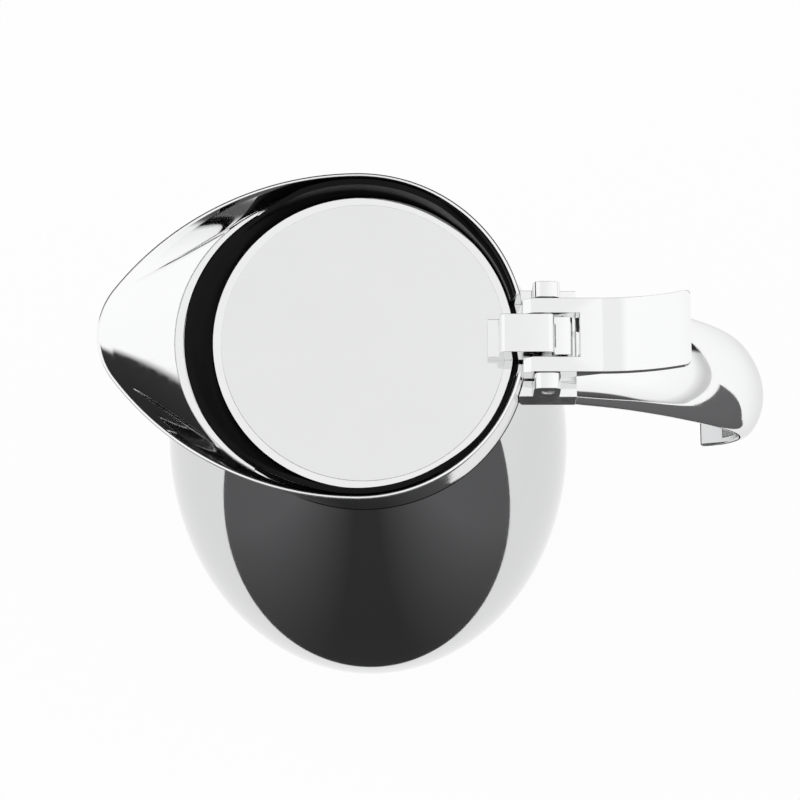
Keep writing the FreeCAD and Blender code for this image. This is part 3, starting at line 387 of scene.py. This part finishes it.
# Collar: four tangent arcs per level, lofted from the round neck to the pear-shaped rim.
# The arcs are given by back radius, back shift, tip radius, tip shift and flank radius.
RIM_ARCS = (43.9, 1.5, 20, 49.2, 80)
POUR_ARCS = (42.4, 1.5, 40, 7, 55)
ARC_STEPS = (96, 30, 48, 30)
ROUND_SPLITS = (-93, 93, 150, 210, 267)
PEAR_MIDDLE_X = -4
LOFT_STEPS = 24
NECK_RADIUS = 43.4
NECK_HEIGHT = 230.15
COLLAR_WALL = 1.1
LIP_INSETS = (
    (0, 245.55), (0.06, 245.75), (0.2, 245.92), (0.42, 246), (0.68, 246), (0.9, 245.92), (1.04, 245.75),
)
BEAD_GROWTH = -0.4
BEAD_REACH = 2.9
BEAD_LOW = 238.95
BORE_GROWTH = 0.2
BORE_RADIUS = 41.2
BORE_LOW = 231.3
STEP_SHARE = 0.208
STEP_HEIGHT = 237.4
SLEEVE_ROUNDS = ((40.9, 231.3), (40.9, 222), (42.3, 222), (42.3, 230))
TROUGH_FIRST_STEP = 3
GUTTER_SAG = 0.4
GUTTER_WIDTH = 18
NOTCH = ((24.15, -10.6, 236), (48.3, 10.6, 248))
LINING_SHARES = (0.07, 0.6)
LINING_START_X = 19
LINING_GAP_HALF = 10.8
LINING_BACK = 0.05
LINING_FACE = 0.4


def pear(back, back_shift, tip, tip_shift, flank, height):
    """A pear outline: a back arc and a tip arc, joined by two wide flank arcs."""
    span = tip_shift - back_shift
    to_back, to_tip = flank - back, flank - tip
    along = (to_back ** 2 - to_tip ** 2 + span ** 2) / (2 * span)
    across = math.sqrt(to_back ** 2 - along ** 2)
    middle = (-back_shift - along, -across)
    shoulder = math.degrees(math.atan2(across, along))
    cheek = math.degrees(math.atan2(across, along - span))
    sides = [
        ((-back_shift, 0), back, -shoulder, shoulder),
        (middle, flank, shoulder, cheek),
        ((-tip_shift, 0), tip, cheek, 360 - cheek),
        ((middle[0], across), flank, 360 - cheek, 360 - shoulder),
    ]
    return ring_of(sides, height)


def ring_of(sides, height):
    ring = []
    for (centre, radius, start, end), steps in zip(sides, ARC_STEPS):
        ring += [(x, y, height) for x, y in arc(centre, radius, start, end, steps)[:-1]]
    return ring


def round_ring(radius, height):
    """A circle with as many points in each sector as a pear outline has."""
    sides = [((0, 0), radius, start, end) for start, end in zip(ROUND_SPLITS, ROUND_SPLITS[1:])]
    return ring_of(sides, height)


def rim_ring(inset, height):
    back, back_shift, tip, tip_shift, flank = RIM_ARCS
    return pear(back - inset, back_shift, tip - inset, tip_shift, flank - inset, height)


def pour_ring(growth, height, reach=0):
    back, back_shift, tip, tip_shift, flank = POUR_ARCS
    return pear(back + growth, back_shift, tip + growth, tip_shift + reach, flank + growth, height)


def inner_rim():
    return rim_ring(COLLAR_WALL, RIM_HEIGHT)


def bead_ring():
    return pour_ring(BEAD_GROWTH, BEAD_HEIGHT, BEAD_REACH)


def between(first, second, share):
    """A ring at a share of the way from one ring to another."""
    return [
        tuple(a + (b - a) * share for a, b in zip(start, end))
        for start, end in zip(first, second)
    ]


def gutter(rim, floor, share):
    """A ring between rim and floor that sags where the two lie far apart, as in the beak."""
    ring = []
    for start, end, point in zip(rim, floor, between(rim, floor, share)):
        width = math.hypot(start[0] - end[0], start[1] - end[1])
        sag = GUTTER_SAG * 4 * share * (1 - share) * min(1, width / GUTTER_WIDTH) ** 2
        ring.append((point[0], point[1], point[2] - sag))
    return ring


def outwards(point):
    return math.hypot(point[0] - PEAR_MIDDLE_X, point[1])


def wider(first, second, height):
    """At each point, whichever of two rings lies further out."""
    return [max(pair, key=outwards)[:2] + (height,) for pair in zip(first, second)]


def inward(point, step):
    """A point moved towards the jug's axis."""
    share = 1 - step / math.hypot(point[0], point[1])
    return (point[0] * share, point[1] * share, point[2])


def build_collar():
    neck = round_ring(NECK_RADIUS, NECK_HEIGHT)
    rim = rim_ring(0, RIM_HEIGHT)
    outside = [round_ring(SEAM_EDGE_RADIUS, SEAM_HEIGHT)]
    outside += [between(neck, rim, step / LOFT_STEPS) for step in range(LOFT_STEPS - 1)]
    lip = [rim_ring(inset, height) for inset, height in LIP_INSETS]
    bead = bead_ring()
    trough_steps = range(TROUGH_FIRST_STEP, LOFT_STEPS + 1)
    trough = [gutter(inner_rim(), bead, step / LOFT_STEPS) for step in trough_steps]
    bore_top = pour_ring(BORE_GROWTH, BEAD_HEIGHT)
    bore_low = round_ring(BORE_RADIUS, BORE_LOW)
    step_low = between(bore_top, bore_low, STEP_SHARE)
    inside = [wider(bead, bore_top, BEAD_LOW), wider(bead, step_low, STEP_HEIGHT), step_low, bore_low]
    inside += [round_ring(radius, height) for radius, height in SLEEVE_ROUNDS]
    piece = skin("collar_with_spout", outside + lip + trough + inside, True)
    cut(piece, block("notch", *NOTCH))
    stand_in(piece, "jug", "chrome", "spout_collar")


def build_lining():
    """Black bands on the collar's wall beside the hinge, above the pour ring's step."""
    edges = [between(inner_rim(), bead_ring(), share)[:ARC_STEPS[0]] for share in LINING_SHARES]
    sections = {"near": [], "far": []}
    for top, low in zip(*edges):
        if top[0] > LINING_START_X and abs(top[1]) > LINING_GAP_HALF:
            sections["far" if top[1] > 0 else "near"].append([
                inward(top, LINING_BACK),
                inward(low, LINING_BACK),
                inward(low, LINING_FACE),
                inward(top, LINING_FACE),
            ])
    for side, rings in sections.items():
        stand_in(skin("wall_lining_" + side, rings, False), "jug", "black_plastic")


# Lid: polished cap with a narrow rounded edge, and the plate let into it
LID_BEVEL_MIDDLE = (39.42, LID_TOP)
LID_BEVEL_RADIUS = 0.08
PLATE_LOW = 237.2
PLATE_RADIUS = 37.39
LID_SKIRT = [(0, 236.3), (38.1, 236.3), (38.1, 234.3), (39.3, 234.3), (39.5, 234.5)]
LID_RECESS = [(37.4, 237.97), (37.4, PLATE_LOW), (0, PLATE_LOW)]
PLATE_EDGE = [(PLATE_RADIUS, PLATE_LOW), (PLATE_RADIUS, 237.97), (37.36, LID_TOP)]
PLATE_TOP = [(37.1, LID_TOP), (36.8, LID_TOP), (0, LID_TOP)]


def build_lid():
    bevel = arc(LID_BEVEL_MIDDLE, LID_BEVEL_RADIUS, 0, 93, 4)
    cap = turned("lid_cap_polished", LID_SKIRT + bevel + LID_RECESS)
    stand_in(cap, "lid", "chrome", "lid_cap")
    plate = turned("lid_plate_brushed", [(0, PLATE_LOW)] + PLATE_EDGE + PLATE_TOP)
    stand_in(plate, "lid", "lid_plate", "lid_disc")


# Hinge: forked lever, lid arm, bracket and pin
LEVER_HALF = 9.9
LEVER_TOP = 245
LEVER_THICKNESS = 2.6
LEVER_NOSE = [(41.7, 236.4), (41.7, 243.4), (44.4, LEVER_TOP)]
LEVER_HUB_RADIUS = 4.3
LEVER_SOFT = 0.5
SWEEP_X = 62.08
SWEEP_RADIUS = 33.26
SWEEP_END = -47.85
FORK = ((39, -5.9, 230), (56.5, 5.9, 249))
THUMB_CORNER = (83, 8.5)
THUMB_CORNER_RADIUS = 1.4
THUMB_TRIM = (88, 12)
THUMB_TRIM_HEIGHTS = (240, 260)
LIFT_BAR = ((41.7, -6.1, 236.4), (43.5, 6.1, 238.1))
LIFT_BAR_SOFT = 0.2
ARM_HALF = 5.1
ARM_ROUND = 1.6
ARM_HUB_RADIUS = 4.2
ARM_SOFT = 0.8
BAY_HALF = 3.1
BAY_RADIUS = 4
BAY_LOW = 234
BRACKET_HALF = 14.4
BRACKET_BACK = 56
BRACKET_FRONT = 34.72
BRACKET_SOFT = 0.45
EAR_ROUND = 2
EAR_MIDDLE = 243.2
CHANNEL = ((32, -10.2, 232.4), (58, 10.2, 248))
HUG = [
    (0, 224.5), (44.3, 224.5), (44.3, BRACKET_LOW), (43.6, SEAM_HEIGHT), (42.6, RIM_HEIGHT), (0, RIM_HEIGHT),
]
HUG_STEPS = 160
PIN_DOME = ((0.02, 14.2), (1.2, 14.18), (1.62, 14), (PIN_RADIUS, 13.6))


def build_lever():
    over = arc((SWEEP_X, LEVER_TOP + SWEEP_RADIUS), SWEEP_RADIUS, -90, SWEEP_END, 36)
    under = [(x, z - LEVER_THICKNESS) for x, z in over[::-1]]
    hub = arc(PIN, LEVER_HUB_RADIUS, -36.87, -126.87, 24)
    piece = prism("lever_forked", LEVER_NOSE + over + under + hub, LEVER_HALF)
    corners = []
    corner_x, corner_y = THUMB_CORNER
    trim_x, trim_y = THUMB_TRIM
    for side in (1, -1):
        plan = [(x, side * y) for x, y in arc(THUMB_CORNER, THUMB_CORNER_RADIUS, 0, 90, 12)]
        plan += [(corner_x, side * trim_y), (trim_x, side * trim_y), (trim_x, side * corner_y)]
        rings = [[(x, y, z) for x, y in plan] for z in THUMB_TRIM_HEIGHTS]
        corners.append(skin("corner", rings, False))
    cut(piece, block("fork", *FORK), pin_hole("lever_bore"), *corners)
    stand_in(soften(piece, LEVER_SOFT), "lever", "chrome", "thumb_lever")
    bar = soften(block("lift_bar", *LIFT_BAR), LIFT_BAR_SOFT)
    stand_in(bar, "lever", "chrome")


def build_arm():
    outline = [(32.6, LID_TOP), (32.6, 241.2), (35.4, 241.2)]
    outline += arc((37, 245.4), ARM_ROUND, 180, 90, 8)
    outline += arc((48.2, 245.4), ARM_ROUND, 90, 0, 8)
    outline += [(49.8, 243.9)]
    outline += arc((53, 242.3), ARM_ROUND, 90, 0, 8)
    outline += arc(PIN, ARM_HUB_RADIUS, -16.26, -163.74, 28)
    outline += [(43.5, 238.5), (39.5, 238.5), (37.4, LID_TOP)]
    bay = [(44.3, BAY_LOW), (52.3, BAY_LOW)] + arc(PIN, BAY_RADIUS, 0, 180, 24)
    piece = prism("arm_block", outline, ARM_HALF)
    cut(piece, prism("bay", bay, BAY_HALF), pin_hole("arm_bore"))
    stand_in(soften(piece, ARM_SOFT), "lid", "chrome", "lid_arm")


def build_bracket():
    outline = [(BRACKET_FRONT, BRACKET_LOW), (BRACKET_BACK, BRACKET_LOW)]
    outline += [(BRACKET_BACK, 235.5), (51.4, 235.5)]
    outline += arc((49.4, EAR_MIDDLE), EAR_ROUND, 0, 90, 8)
    outline += arc((46.4, EAR_MIDDLE), EAR_ROUND, 90, 180, 8)
    outline += [(44.4, 236), (BRACKET_FRONT, 236)]
    piece = prism("hinge_block", outline, BRACKET_HALF)
    channel = block("channel", *CHANNEL)
    hug = turned("hug", HUG, HUG_STEPS)
    cut(piece, channel, hug, pin_hole("ear_bore"))
    stand_in(soften(piece, BRACKET_SOFT), "jug", "chrome", "hinge_bracket")


def build_pin():
    ends = [(radius, -across) for radius, across in PIN_DOME] + list(PIN_DOME[::-1])
    rings = [[(x, across, z) for x, z in circle(PIN, radius, 40)] for radius, across in ends]
    stand_in(skin("pin_domed", rings, False), "lever", "steel", "hinge_pin")


# Handle: a crowned hook through eight stations, with rounded foot edges and a rounded end.
# Each station holds the way along, the way down, width, rise and pitch in degrees.
STATIONS = [
    (0.00, 0.00, 1.00, 1.00, 0.0),
    (0.28, 0.072, 1.01, 1.00, 24.0),
    (0.58, 0.20, 1.01, 1.00, 38.0),
    (0.83, 0.37, 0.97, 0.97, 55.0),
    (0.965, 0.55, 0.88, 0.90, 75.0),
    (1.00, 0.72, 0.77, 0.82, 93.0),
    (0.95, 0.88, 0.66, 0.74, 112.0),
    (0.84, 1.00, 0.56, 0.66, 126.0),
]
HANDLE_REACH = 49.5
HANDLE_FALL = 78.5
HANDLE_HALF = 14.3
HANDLE_CROWN = 8.5
# A corner over 6.3 turns the hollow's section inside out at its last station, and the handle is lost.
# The rise stays at 1 near the hinge, because the handle screws lie close under the crown there.
HANDLE_CORNER = 6
HANDLE_FOOT = -0.2
HANDLE_FOOT_ROUND = 0.8
HANDLE_END_ROUND = 0.9
HANDLE_END_STEPS = 6
HANDLE_WALL = 1.8
HOLLOW_FOOT = -2
HOLLOW_FOOT_ROUND = 0.01
HOLLOW_SPRING_LINE = 1.6
STATION_STEPS = 10


def station_at(place):
    """The stations' five values at a place between them, on a smooth curve through them all."""
    number = min(int(place), len(STATIONS) - 2)
    share = place - number
    before, start, end, after = (
        STATIONS[min(max(number + step, 0), len(STATIONS) - 1)] for step in (-1, 0, 1, 2)
    )
    values = []
    for p0, p1, p2, p3 in zip(before, start, end, after):
        out = (p2 - p0) / (2 if number else 1)
        into = (p3 - p1) / (2 if number < len(STATIONS) - 2 else 1)
        rest = 1 - share
        values.append(
            p1 * (1 + 2 * share) * rest ** 2 + out * share * rest ** 2
            + p2 * (3 - 2 * share) * share ** 2 - into * rest * share ** 2
        )
    return values


def handle_ring(place, inset=0, back=0, foot=HANDLE_FOOT, foot_round=HANDLE_FOOT_ROUND, spring_line=0):
    """A crowned section across the handle's path, drawn in by an inset and moved back along it."""
    along, down, width, rise, pitch = station_at(place)
    half = HANDLE_HALF * width - inset
    corner = HANDLE_CORNER * rise - inset
    crown = HANDLE_CROWN * rise - inset
    flat = half - corner
    lift = crown - spring_line - corner
    drop = (flat ** 2 - lift ** 2) / (2 * lift)
    lean = math.degrees(math.atan2(drop, flat))
    section = arc((half - foot_round, foot + foot_round), foot_round, -90, 0, 6)
    section += arc((flat, spring_line), corner, 0, lean, 12)
    section += arc((0, spring_line - drop), drop + crown - spring_line, lean, 180 - lean, 36)[1:-1]
    section += arc((-flat, spring_line), corner, 180 - lean, 180, 12)
    section += arc((foot_round - half, foot + foot_round), foot_round, 180, 270, 6)
    tilt = math.radians(pitch)
    x = BRACKET_BACK + HANDLE_REACH * along - back * math.cos(tilt)
    z = BRACKET_LOW - HANDLE_FALL * down + back * math.sin(tilt)
    return [(x + n * math.sin(tilt), y, z + n * math.cos(tilt)) for y, n in section]


def hollow_ring(place):
    return handle_ring(
        place, HANDLE_WALL,
        foot=HOLLOW_FOOT, foot_round=HOLLOW_FOOT_ROUND, spring_line=HOLLOW_SPRING_LINE,
    )


def build_handle():
    end = len(STATIONS) - 1
    rings = [handle_ring(step / STATION_STEPS) for step in range(end * STATION_STEPS)]
    for step in range(1, HANDLE_END_STEPS + 1):
        turn = math.pi / 2 * step / HANDLE_END_STEPS
        inset = HANDLE_END_ROUND * (1 - math.cos(turn))
        back = HANDLE_END_ROUND * (1 - math.sin(turn))
        rings.append(handle_ring(end, inset, back, inset + HANDLE_FOOT))
    piece = skin("handle_hook", rings, False)
    hollow_steps = range((end - 2) * STATION_STEPS + 1)
    hollow = [hollow_ring(1 + step / STATION_STEPS) for step in hollow_steps]
    cut(piece, skin("hollow", hollow, False))
    stand_in(piece, "jug", "chrome", "handle_shell")


for build in (
    build_shell, build_collar, build_lining, build_lid, build_lever, build_arm, build_bracket, build_pin,
    build_handle,
):
    build()


# Studio in metres: a white floor, a white tent, an overhead softbox and a dim room beyond the table's edge.
# TENT gives the light by the direction's part along each axis, from -1 to 1.
TENT = {
    "X": [(-0.3, 1), (-0.2, 0.88), (0.045, 0.88), (0.075, 1)],
    "Y": [(-1, 0.08), (-0.78, 0.1), (-0.73, 0.9), (-0.44, 0.99), (0.37, 0.99), (0.42, 0.03), (1, 0.02)],
    "Z": [(0, 0.6), (0.12, 0.95), (0.4, 1)],
}
FLOOR_HALF = 4
FLOOR_COLOUR = (0.9, 0.9, 0.9, 1)
FLOOR_GLOW_SHARE = 0.95
ROOM_LOW = (-1.5, -2)
ROOM_HIGH = (1.5, -0.0625)
ROOM_HEIGHT = 0.001
ROOM_MIDDLE = (0.02, (0.036, 0.036, 0.037, 1))
ROOM_SIDES = (0.12, (0.125, 0.125, 0.128, 1))
SOFTBOX_SIZE = (1.1, 0.9)
SOFTBOX_WATTS = 5
SOFTBOX_PLACE = (-0.25, 0.3, 1.3)
SOFTBOX_LEAN = math.radians(-11)


def empty_material(name):
    material = bpy.data.materials.new(name)
    material.use_nodes = True
    material.node_tree.nodes.clear()
    return material


def floor_material():
    material = empty_material("floor")
    nodes, links = material.node_tree.nodes, material.node_tree.links
    white = nodes.new("ShaderNodeBsdfDiffuse")
    white.inputs["Color"].default_value = FLOOR_COLOUR
    glow = nodes.new("ShaderNodeEmission")
    glow.inputs["Strength"].default_value = 1
    share = nodes.new("ShaderNodeMath")
    share.operation = "MULTIPLY"
    share.inputs[1].default_value = FLOOR_GLOW_SHARE
    links.new(seen(nodes, links), share.inputs[0])
    both = nodes.new("ShaderNodeMixShader")
    links.new(share.outputs["Value"], both.inputs["Fac"])
    links.new(white.outputs["BSDF"], both.inputs[1])
    links.new(glow.outputs["Emission"], both.inputs[2])
    target = nodes.new("ShaderNodeOutputMaterial")
    links.new(both.outputs["Shader"], target.inputs["Surface"])
    return material


def seen(nodes, links, ways=("Is Camera Ray", "Is Glossy Ray", "Is Transmission Ray")):
    """1 for the rays that see the background, 0 for those that light the object."""
    path = nodes.new("ShaderNodeLightPath")
    total = path.outputs[ways[0]]
    for way in ways[1:]:
        most = nodes.new("ShaderNodeMath")
        most.operation = "MAXIMUM"
        links.new(total, most.inputs[0])
        links.new(path.outputs[way], most.inputs[1])
        total = most.outputs["Value"]
    return total


def plane(name, low, high, height, material):
    corners = [(low[0], low[1]), (high[0], low[1]), (high[0], high[1]), (low[0], high[1])]
    mesh = bpy.data.meshes.new(name)
    mesh.from_pydata([(x, y, height) for x, y in corners], [], [(0, 1, 2, 3)])
    mesh.materials.append(material)
    piece = bpy.data.objects.new(name, mesh)
    bpy.context.scene.collection.objects.link(piece)
    return piece


def room_material():
    """The dim room beyond the table's edge, darkest in the middle."""
    material = empty_material("dim_room")
    nodes, links = material.node_tree.nodes, material.node_tree.links
    place = nodes.new("ShaderNodeTexCoord")
    split = nodes.new("ShaderNodeSeparateXYZ")
    links.new(place.outputs["Object"], split.inputs["Vector"])
    away = nodes.new("ShaderNodeMath")
    away.operation = "ABSOLUTE"
    links.new(split.outputs["X"], away.inputs[0])
    ramp = nodes.new("ShaderNodeValToRGB")
    near, far = ramp.color_ramp.elements
    near.position, near.color = ROOM_MIDDLE
    far.position, far.color = ROOM_SIDES
    links.new(away.outputs["Value"], ramp.inputs["Fac"])
    glow = nodes.new("ShaderNodeEmission")
    links.new(ramp.outputs["Color"], glow.inputs["Color"])
    target = nodes.new("ShaderNodeOutputMaterial")
    links.new(glow.outputs["Emission"], target.inputs["Surface"])
    return material


def tent(nodes, links):
    """White overhead and to both sides, dim in front and behind, with a grey seam along the top."""
    place = nodes.new("ShaderNodeTexCoord")
    split = nodes.new("ShaderNodeSeparateXYZ")
    links.new(place.outputs["Generated"], split.inputs["Vector"])
    total = None
    for axis, stops in TENT.items():
        whole = nodes.new("ShaderNodeMapRange")
        whole.inputs["From Min"].default_value = -1
        links.new(split.outputs[axis], whole.inputs["Value"])
        ramp = nodes.new("ShaderNodeValToRGB")
        band = ramp.color_ramp
        while len(band.elements) < len(stops):
            band.elements.new(0.5)
        for stop, (part, level) in zip(band.elements, stops):
            stop.position = (part + 1) / 2
            stop.color = (level, level, level, 1)
        links.new(whole.outputs["Result"], ramp.inputs["Fac"])
        if total:
            both = nodes.new("ShaderNodeVectorMath")
            both.operation = "MULTIPLY"
            links.new(total, both.inputs[0])
            links.new(ramp.outputs["Color"], both.inputs[1])
            total = both.outputs["Vector"]
        else:
            total = ramp.outputs["Color"]
    return total


def build_softbox():
    lamp = bpy.data.lights.new("softbox", "AREA")
    lamp.shape = "RECTANGLE"
    lamp.size, lamp.size_y = SOFTBOX_SIZE
    lamp.energy = SOFTBOX_WATTS
    softbox = bpy.data.objects.new("softbox", lamp)
    softbox.location = SOFTBOX_PLACE
    softbox.rotation_euler = Euler((SOFTBOX_LEAN, SOFTBOX_LEAN, 0))
    softbox.visible_glossy = False
    bpy.context.scene.collection.objects.link(softbox)


def build_world():
    """The tent for reflections and light, and plain white for the camera."""
    world = bpy.data.worlds.new("studio")
    world.use_nodes = True
    bpy.context.scene.world = world
    nodes, links = world.node_tree.nodes, world.node_tree.links
    nodes.clear()
    light = nodes.new("ShaderNodeBackground")
    links.new(tent(nodes, links), light.inputs["Color"])
    white = nodes.new("ShaderNodeBackground")
    white.inputs["Color"].default_value = (1, 1, 1, 1)
    both = nodes.new("ShaderNodeMixShader")
    links.new(seen(nodes, links, ("Is Camera Ray",)), both.inputs["Fac"])
    links.new(light.outputs["Background"], both.inputs[1])
    links.new(white.outputs["Background"], both.inputs[2])
    target = nodes.new("ShaderNodeOutputWorld")
    links.new(both.outputs["Shader"], target.inputs["Surface"])


def build_studio():
    plane("floor", (-FLOOR_HALF, -FLOOR_HALF), (FLOOR_HALF, FLOOR_HALF), 0, floor_material())
    room = plane("dim_room", ROOM_LOW, ROOM_HIGH, ROOM_HEIGHT, room_material())
    room.visible_camera = False
    room.visible_diffuse = False
    room.visible_shadow = False
    room.visible_transmission = False
    build_softbox()
    build_world()


# Camera: nearly overhead, as in the photo
CAMERA_ELEVATION = math.radians(76.4)
CAMERA_DISTANCE = 743.6
CAMERA_RIGHT = 9.6
CAMERA_DOWN = 15.4
LENS = 127.5
SENSOR = 36


def build_camera():
    lid_middle = Vector((0, 0, LID_TOP))
    ahead = Vector((0, math.cos(CAMERA_ELEVATION), -math.sin(CAMERA_ELEVATION)))
    above = Vector((0, math.sin(CAMERA_ELEVATION), math.cos(CAMERA_ELEVATION)))
    lens = bpy.data.cameras.new("camera")
    lens.sensor_width = SENSOR
    lens.lens = LENS
    camera = bpy.data.objects.new("camera", lens)
    aside = Vector((CAMERA_RIGHT, 0, 0)) - above * CAMERA_DOWN
    camera.location = (lid_middle + aside - ahead * CAMERA_DISTANCE) * MM
    camera.rotation_euler = Euler((math.pi / 2 - CAMERA_ELEVATION, 0, 0))
    bpy.context.scene.collection.objects.link(camera)
    bpy.context.scene.camera = camera


build_studio()
build_camera()
bpy.context.scene.view_settings.view_transform = "Standard"
